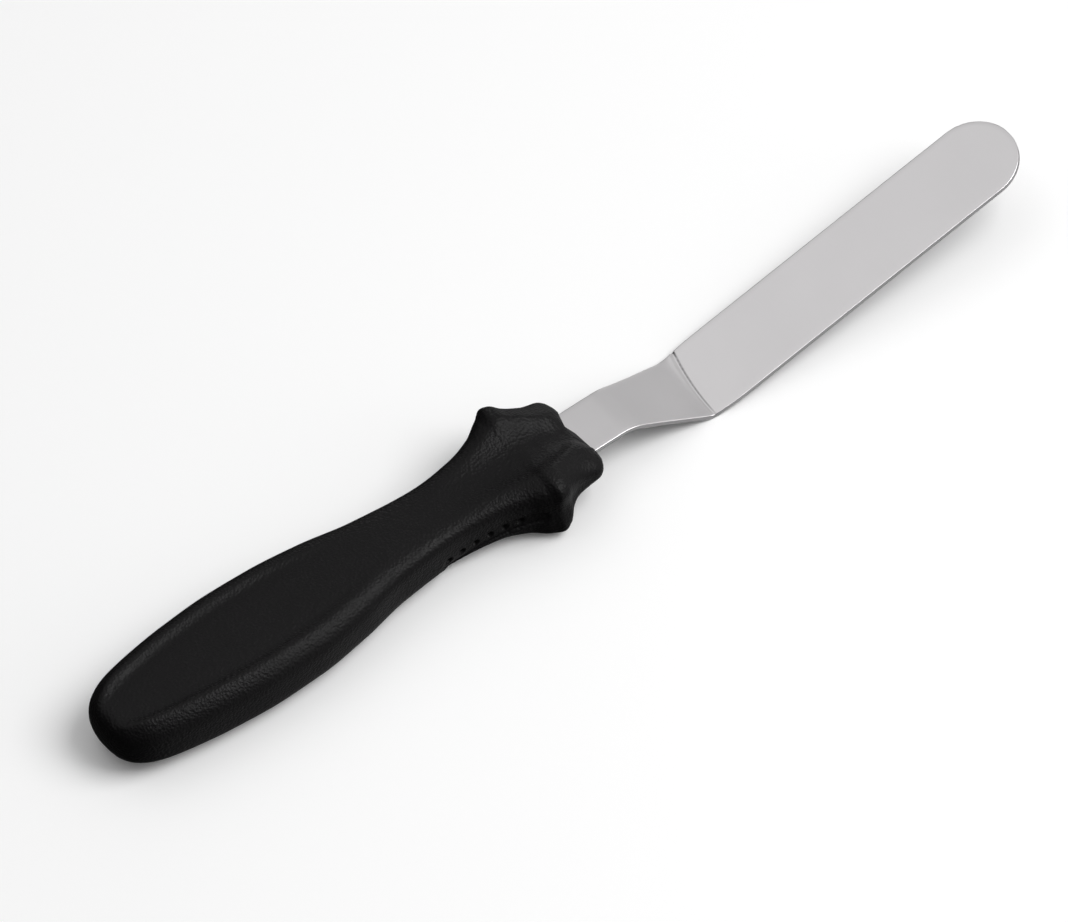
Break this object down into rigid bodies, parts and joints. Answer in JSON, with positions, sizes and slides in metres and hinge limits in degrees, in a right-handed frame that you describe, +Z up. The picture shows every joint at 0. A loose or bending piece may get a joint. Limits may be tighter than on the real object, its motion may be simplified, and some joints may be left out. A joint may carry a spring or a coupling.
{
  "type": "offset spatula",
  "caption": "Small offset icing spatula: cranked round-ended stainless blade with a flared plastic handle moulded on its tang.",
  "frame": {"origin": "middle of the footprint on the bench, with the guard and the handle's belly resting on z = 0", "axes": "+X from the butt towards the blade's tip, +Y to the left, +Z up"},
  "size_m": [0.229, 0.0288, 0.0172],
  "materials": {
    "stainless": "satin",
    "black_plastic": "spark-eroded texture"
  },
  "bodies": {
    "root": {"blade": "stainless", "handle": "black_plastic"}
  },
  "joints": []
}
